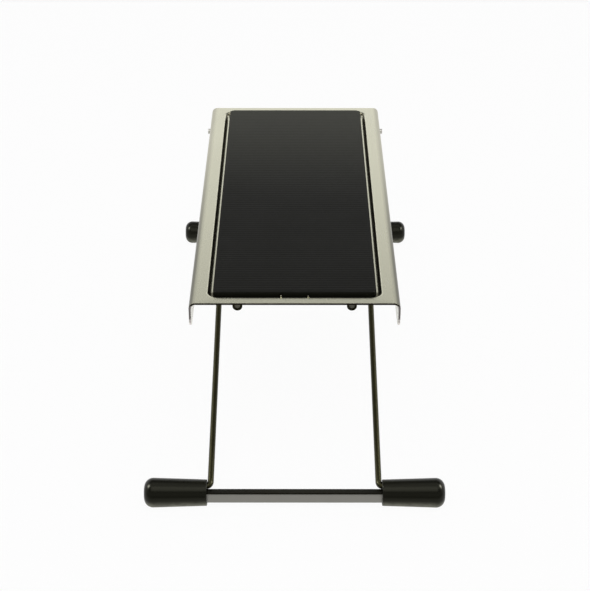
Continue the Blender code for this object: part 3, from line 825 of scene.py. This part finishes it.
def leg_wire(corners, eyes):
    """Mesh of a bent wire with flat round eyes, each given as its place and the wire's direction there."""
    curve = bpy.data.curves.new("wire", "CURVE")
    curve.dimensions = "3D"
    curve.bevel_depth = wire_radius
    curve.bevel_resolution = WIRE_ROUNDNESS
    curve.use_fill_caps = True
    path = bent_path(corners, [eye for eye, along in eyes])
    spline = curve.splines.new("POLY")
    spline.points.add(len(path) - 1)
    for target, point in zip(spline.points, path):
        target.co = (*point, 1)
    bm = bmesh.new()
    bm.from_mesh(plain_mesh(bpy.data.objects.new("wire", curve)))
    mesh = rounded(mesh_of(bm), WIRE_END_EDGE, WIRE_END_STEPS)
    for eye, along in eyes:
        sideways = Vector((1, 0, 0))
        upwards = along.cross(sideways)
        for vert in mesh.vertices:
            reach = vert.co - eye
            run = abs(reach.dot(along))
            rise = reach.dot(upwards)
            if run < EYE_REACH and max(abs(reach.x), abs(rise)) < WIRE_DIAMETER:
                bulge = sqrt(max(0, (EYE_DIAMETER / 2) ** 2 - run ** 2))
                width = (wire_radius ** 4 + bulge ** 4) ** 0.25
                share = min(max((EYE_REACH - run) / (EYE_REACH - EYE_DIAMETER / 2), 0), 1)
                flat = share * share * (3 - 2 * share)
                limit = wire_radius + (EYE_THICKNESS / 2 - wire_radius) * flat
                thick = min(max(reach.x * (1 + flat), -limit), limit)
                grow = rise * (width / wire_radius - 1)
                vert.co += upwards * grow + sideways * (thick - reach.x)
        mesh = combined(mesh, cross_pin(CROSS_RIVET / 2 + RUNNING_GAP, 2 * WIRE_DIAMETER, eye))
    return mesh


for side, sign in SIDES:
    route = ((tip_x, pivot_at), (FRONT_WIRE_X, pivot_at), (FRONT_WIRE_X, front_end), (grip_x, front_end))
    corners = [Vector((sign * x, point.y, point.z)) for x, point in route]
    eye = Vector((sign * FRONT_WIRE_X, crossing.y, crossing.z))
    along = (pivot_at - front_end).normalized()
    show(f"front_wire_{side}", leg_wire(corners, [(eye, along)]), dark_finish, "front_leg", "dark_wire",
         f"front_leg_wire_{side}")

route = ((-grip_x, rear_end), (-REAR_WIRE_X, rear_end), (-REAR_WIRE_X, lock_run),
         (REAR_WIRE_X, lock_run), (REAR_WIRE_X, rear_end), (grip_x, rear_end))
corners = [Vector((x, point.y, point.z)) for x, point in route]
along = (lock_run - rear_end).normalized()
rear_eyes = [(Vector((sign * REAR_WIRE_X, crossing.y, crossing.z)), along) for sign in (-1, 1)]
show("rear_wire", leg_wire(corners, rear_eyes), dark_finish, "rear_leg", "dark_wire", "rear_leg_wire")


# Crossing rivets and washers
# A steel rivet through the two eyes on each side, headed at both ends, with a washer between the wires so
# that they turn freely.
CROSS_RIVET_HEAD = 0.0064

washer_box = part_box("cross_washer_right")
rivet_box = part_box("cross_rivet_right")
rivet_middle = (rivet_box[0].x + rivet_box[1].x) / 2
rivet_half = (rivet_box[1].x - rivet_box[0].x) / 2
washer_middle = (washer_box[0].x + washer_box[1].x) / 2
washer_half = (washer_box[1].x - washer_box[0].x) / 2
head_base = rivet_half - RIVET_HEAD_HEIGHT
upper_head = dome(CROSS_RIVET_HEAD / 2, RIVET_HEAD_HEIGHT, head_base)
shank_half = [(CROSS_RIVET / 2, 0), (CROSS_RIVET / 2, head_base), *upper_head]
cross_rivet_profile = [(radius, -height) for radius, height in reversed(shank_half)] + shank_half[1:]
washer_bore = CROSS_RIVET / 2 + RUNNING_GAP
washer_rim = CROSS_RIVET_HEAD / 2
washer_profile = [(washer_bore, -washer_half), (washer_rim, -washer_half), (washer_rim, washer_half),
                  (washer_bore, washer_half), (washer_bore, -washer_half)]
for name, profile, middle, nodes in (("crossing_rivets", cross_rivet_profile, rivet_middle, "cross_rivet"),
                                     ("crossing_washers", washer_profile, washer_middle, "cross_washer")):
    one = turned(profile, RIVET_SIDES)
    bmesh.ops.rotate(one, verts=one.verts, matrix=Matrix.Rotation(pi / 2, 3, "Y"))
    pair = grown(mesh_of(one), pattern_tree, {
        "Count Across": 2, "Count Along": 1, "Spacing Across": 2 * middle})
    pair.transform(Matrix.Translation(crossing))
    show(name, pair, steel_finish, "front_leg", "rivet_steel", f"{nodes}_left", f"{nodes}_right")


# Cross bars
# A strip of steel folded to a narrow channel that ties each pair of feet together, open towards the middle.
# It has the wires' dark plating, ground off its outer face to a grey satin, and the sleeves grip its ends.
BAR_WALL = 0.0012
BAR_CORNER = 0.0009
BAR_EDGE = 0.00015
BAR_CORNER_STEPS = 8

BAR_PLATING_DEEP = (0.0070, 0.0066, 0.0042)
BAR_PLATING_PALE = (0.0110, 0.0105, 0.0068)
GROUND_DEEP = (0.215, 0.212, 0.190)
GROUND_PALE = (0.255, 0.250, 0.228)
GROUND_FACING = 0.8
BAR_ROUGHNESS = 0.28
GROUND_RELIEF = 0.000006


def ground_bar(place):
    """Dark plating, with an outer face that is ground to a grey satin with fine lines along the bar."""
    ground = marked(place, "ground")
    lines = cloud(place, per_metre=40, detail=3, stretch=(0.5, 60, 60))
    patches = cloud(place, per_metre=70, detail=3)
    plating = tint(patches, BAR_PLATING_DEEP, BAR_PLATING_PALE)
    bare = tint(patches, GROUND_DEEP, GROUND_PALE)
    return {
        "Base Color": tint(ground, plating, bare),
        "Metallic": 1.0,
        "Roughness": BAR_ROUGHNESS + 0.10 * patches + 0.12 * lines * ground,
        "Normal": relief(lines * ground, GROUND_RELIEF),
    }


def folded_corner(middle_y, middle_z, radius, start, end):
    """Points round one fold of the bar."""
    return [(middle_y + radius * cos(turn), middle_z + radius * sin(turn))
            for turn in sweep(start, end, BAR_CORNER_STEPS)]


bar_finish = finish("ground_bar", ground_bar)
for end, inwards in (("front", 1), ("rear", -1)):
    low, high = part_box(f"{end}_cross_bar")
    middle = (low + high) / 2
    half_depth = (high.y - low.y) / 2
    half_height = (high.z - low.z) / 2
    fold_y = BAR_CORNER - half_depth
    fold_z = half_height - BAR_CORNER
    inside = BAR_CORNER - BAR_WALL / 2
    nook_y = BAR_WALL + inside - half_depth
    nook_z = half_height - BAR_WALL - inside
    section = [(half_depth, half_height), *folded_corner(fold_y, fold_z, BAR_CORNER, 90, 180),
               *folded_corner(fold_y, -fold_z, BAR_CORNER, 180, 270), (half_depth, -half_height),
               (half_depth, BAR_WALL - half_height), *folded_corner(nook_y, -nook_z, inside, 270, 180),
               *folded_corner(nook_y, nook_z, inside, 180, 90), (half_depth, half_height - BAR_WALL)]
    rings = [[(x, middle.y + inwards * y, middle.z + z) for y, z in section] for x in (low.x, high.x)]
    bar_mesh = rounded(mesh_of(loft(rings)), BAR_EDGE)
    mark(bar_mesh, "ground", lambda face: -inwards * face.normal.y > GROUND_FACING)
    show(f"{end}_bar", bar_mesh, bar_finish, f"{end}_leg", "bar_nickel", f"{end}_cross_bar")


# Foot sleeves
# Black vinyl, dip-moulded to a closed sleeve that swells towards its domed end, and pushed over the bar and
# the wire's end. The mouth is cut square, and the sleeve settles to a narrow flat where it stands.
SLEEVE_WALL = 0.0011
SLEEVE_SWELL = 0.0009
SLEEVE_END = 0.0045
SLEEVE_DOME = 0.005
SLEEVE_LIP = 0.0004
SLEEVE_SIDES = 96
CROWN_STEPS = 16

VINYL_BLACK = (0.0026, 0.0026, 0.0012)
VINYL_PAINTED_REFLECTION = (0.21, 0.21, 0.16)
VINYL_SHEEN = (1.0, 1.0, 0.78, 1.0)
VINYL_ROUGHNESS = 0.23
VINYL_SPECULAR = 0.20
VINYL_RELIEF = 0.000012
REFLECTION_FROM = 0.0076
REFLECTION_FULL = 0.0024
REFLECTION_PATCHES_FROM = 0.35
REFLECTION_PATCHES_FULL = 0.65


def black_vinyl(place):
    """Soft black vinyl: a satin gloss with faint flow waves, dull where it stands.

    Low down it is pale in patches, a painted reflection of the floor.
    """
    waves = cloud(place, per_metre=150, detail=3)
    skin = cloud(place, per_metre=3000)
    # Painted reflection of the floor: the vinyl turns pale low down, in patches, and its roughness rises
    # there.
    reflection_patches = ramp(cloud(place, per_metre=260, detail=3), REFLECTION_PATCHES_FROM, REFLECTION_PATCHES_FULL)
    floor_reflection = ramp(axis_of(place, "Z"), REFLECTION_FROM, REFLECTION_FULL) * (0.55 + 0.45 * reflection_patches)
    return {
        "Base Color": tint(floor_reflection, VINYL_BLACK, VINYL_PAINTED_REFLECTION),
        "Roughness": VINYL_ROUGHNESS + 0.08 * waves + 0.04 * skin + 0.25 * floor_reflection,
        "Specular IOR Level": VINYL_SPECULAR,
        "Specular Tint": VINYL_SHEEN,
        "Normal": relief(0.95 * waves + 0.05 * skin, VINYL_RELIEF),
    }


vinyl_finish = finish("black_vinyl", black_vinyl)
for end in ("front", "rear"):
    for side, sign in SIDES:
        low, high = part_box(f"{end}_foot_sleeve_{side}")
        foot_radius = (high.y - low.y) / 2
        neck_radius = foot_radius - SLEEVE_SWELL
        bore_radius = neck_radius - SLEEVE_WALL
        length = high.x - low.x
        lip = [(neck_radius - SLEEVE_LIP * (1 - sin(turn)), SLEEVE_LIP * (1 - cos(turn)))
               for turn in edge_turns]
        rim = foot_radius - SLEEVE_DOME
        shoulder = length - SLEEVE_DOME
        crown = [(rim + SLEEVE_DOME * cos(turn), shoulder + SLEEVE_DOME * sin(turn))
                 for turn in turns_to(pi / 2, CROWN_STEPS)]
        bore_end = length - SLEEVE_END
        profile = [(0, bore_end), (bore_radius, bore_end), (bore_radius, 0), *lip, *crown, (0, length)]
        sleeve = turned(profile, SLEEVE_SIDES)
        middle = Vector((high.x if sign < 0 else low.x, (low.y + high.y) / 2, high.z - foot_radius))
        bmesh.ops.transform(sleeve, verts=sleeve.verts,
                            matrix=Matrix.Translation(middle) @ Matrix.Rotation(sign * pi / 2, 4, "Y"))
        for vert in sleeve.verts:
            vert.co.z = max(vert.co.z, low.z)
        show(f"{end}_sleeve_{side}", mesh_of(sleeve), vinyl_finish, f"{end}_leg", "black_vinyl",
             f"{end}_foot_sleeve_{side}")


# Studio
# A white surround with a pale floor that is all but clear to the camera, so that legs turned below it show.
# In mirrors there is a dim band overhead, and it is dimmer in front. One soft box lights the footrest, and
# two at its sides only put highlights on what is glossy.
FLOOR_SIZE = 12.0
FLOOR_WHITE = (0.82, 0.82, 0.82, 1)
FLOOR_GLOW = 0.95
FLOOR_CLEAR = 0.95
FLOOR_LIT = (1, 1, 1)
FLOOR_DIM = (0.12, 0.12, 0.12)
FLOOR_DIMS_FROM = -0.20
FLOOR_DIM_PAST = -0.26
SURROUND = 0.62
DIM_OVERHEAD = 0.88
OVERHEAD_FROM = 0.445
OVERHEAD_FULL = 0.63
OVERHEAD_FADES = 0.84
OVERHEAD_TO = 0.95
DIM_IN_FRONT = 0.45
IN_FRONT_FULL = -0.5
IN_FRONT_FROM = 0.3
FRONT_BOX_PLACE = (0, -0.84, 1.24)
FRONT_BOX_AIM = (0, -0.18, 0)
FRONT_BOX_SIZE = (1.2, 0.9)
FRONT_BOX_WATTS = 5.6
SIDE_BOX_PLACE = (1.08, 0, 0.98)
SIDE_BOX_AIM = (0.08, -0.18, 0)
SIDE_BOX_SIZE = (0.3, 0.5)
SIDE_BOX_WATTS = 14


def ray(start, kind):
    """1 for rays of a kind, and 0 for the others."""
    return start.add("ShaderNodeLightPath", {}, {}, f"Is {kind} Ray")


def mirrored(start):
    """1 for rays from a mirror or glass, and 0 for the others."""
    return start.maths("MAXIMUM", ray(start, "Glossy"), ray(start, "Transmission"))


floor_bm = bmesh.new()
bmesh.ops.create_grid(floor_bm, x_segments=1, y_segments=1, size=FLOOR_SIZE / 2)
floor = bpy.data.objects.new("floor", mesh_of(floor_bm, outwards=False))
bpy.context.scene.collection.objects.link(floor)
floor_finish = bpy.data.materials.new("floor")
floor_finish.use_nodes = True
floor_tree = floor_finish.node_tree
floor_tree.nodes.remove(floor_tree.nodes["Principled BSDF"])
floor_start = Shade(floor_tree)
floor_matt = floor_start.add("ShaderNodeBsdfDiffuse", {}, {"Color": FLOOR_WHITE})
floor_place = floor_start.add("ShaderNodeTexCoord", {}, {}, "Object")
floor_in_front = mirrored(floor_start) * ramp(axis_of(floor_place, "Y"), FLOOR_DIMS_FROM, FLOOR_DIM_PAST)
floor_glow = floor_start.add("ShaderNodeEmission", {}, {
    "Color": tint(floor_in_front, FLOOR_LIT, FLOOR_DIM), "Strength": 1.0})
floor_clear = floor_start.add("ShaderNodeBsdfTransparent", {}, {})
floor_in_mirror = floor_start.add("ShaderNodeMixShader", {}, {
    0: FLOOR_GLOW * mirrored(floor_start), 1: floor_matt, 2: floor_glow})
floor_shader = floor_start.add("ShaderNodeMixShader", {}, {
    0: FLOOR_CLEAR * ray(floor_start, "Camera"), 1: floor_in_mirror, 2: floor_clear})
floor_tree.links.new(floor_shader.socket, floor_tree.nodes["Material Output"].inputs["Surface"])
floor.data.materials.append(floor_finish)

world = bpy.data.worlds.new("surround")
bpy.context.scene.world = world
world.use_nodes = True
world_tree = world.node_tree
world_start = Shade(world_tree)
towards = world_start.add("ShaderNodeTexCoord", {}, {}, "Generated")
rise = axis_of(towards, "Z")
overhead = ramp(rise, OVERHEAD_FROM, OVERHEAD_FULL) * ramp(rise, OVERHEAD_TO, OVERHEAD_FADES)
in_front = 1 - ramp(axis_of(towards, "Y"), IN_FRONT_FULL, IN_FRONT_FROM)
studio = (1 - DIM_OVERHEAD * overhead) * (1 - DIM_IN_FRONT * in_front)
in_mirror = mirrored(world_start)
lit = in_mirror * studio + (1 - in_mirror) * SURROUND
direct = ray(world_start, "Camera")
white = world_tree.nodes["Background"]
white.inputs["Color"].default_value = (1, 1, 1, 1)
world_tree.links.new((direct + (1 - direct) * lit).socket, white.inputs["Strength"])


def soft_box(name, place, aim, size, watts):
    """Flat lamp that faces a point."""
    lamp = bpy.data.lights.new(name, "AREA")
    lamp.shape = "RECTANGLE"
    lamp.size = size[0]
    lamp.size_y = size[1]
    lamp.energy = watts
    obj = bpy.data.objects.new(name, lamp)
    obj.location = place
    obj.rotation_euler = (Vector(aim) - Vector(place)).to_track_quat("-Z", "Y").to_euler()
    bpy.context.scene.collection.objects.link(obj)
    return obj


soft_box("front_box", FRONT_BOX_PLACE, FRONT_BOX_AIM, FRONT_BOX_SIZE, FRONT_BOX_WATTS)
for sign in (-1, 1):
    flip = Matrix.Diagonal((sign, 1, 1))
    side_box = soft_box("side_box", flip @ Vector(SIDE_BOX_PLACE), flip @ Vector(SIDE_BOX_AIM),
                        SIDE_BOX_SIZE, SIDE_BOX_WATTS)
    side_box.visible_diffuse = False


# Camera
# It stands in front of the footrest and looks down along the tread from its near end, as in the photograph.
# It is a long lens, a little under a metre away.
LENS = 95.16
FILM_WIDTH = 36.0
CAMERA_PLACE = (0.001, -0.9091, 0.4838)
LOOKS_DOWN = radians(25.93)
TURNED_LEFT = radians(0.06)

lens = bpy.data.cameras.new("camera")
lens.sensor_fit = "HORIZONTAL"
lens.sensor_width = FILM_WIDTH
lens.lens = LENS
camera = bpy.data.objects.new("camera", lens)
camera.location = CAMERA_PLACE
camera.rotation_euler = (pi / 2 - LOOKS_DOWN, 0, TURNED_LEFT)
bpy.context.scene.collection.objects.link(camera)
bpy.context.scene.camera = camera
bpy.context.scene.view_settings.view_transform = "Standard"
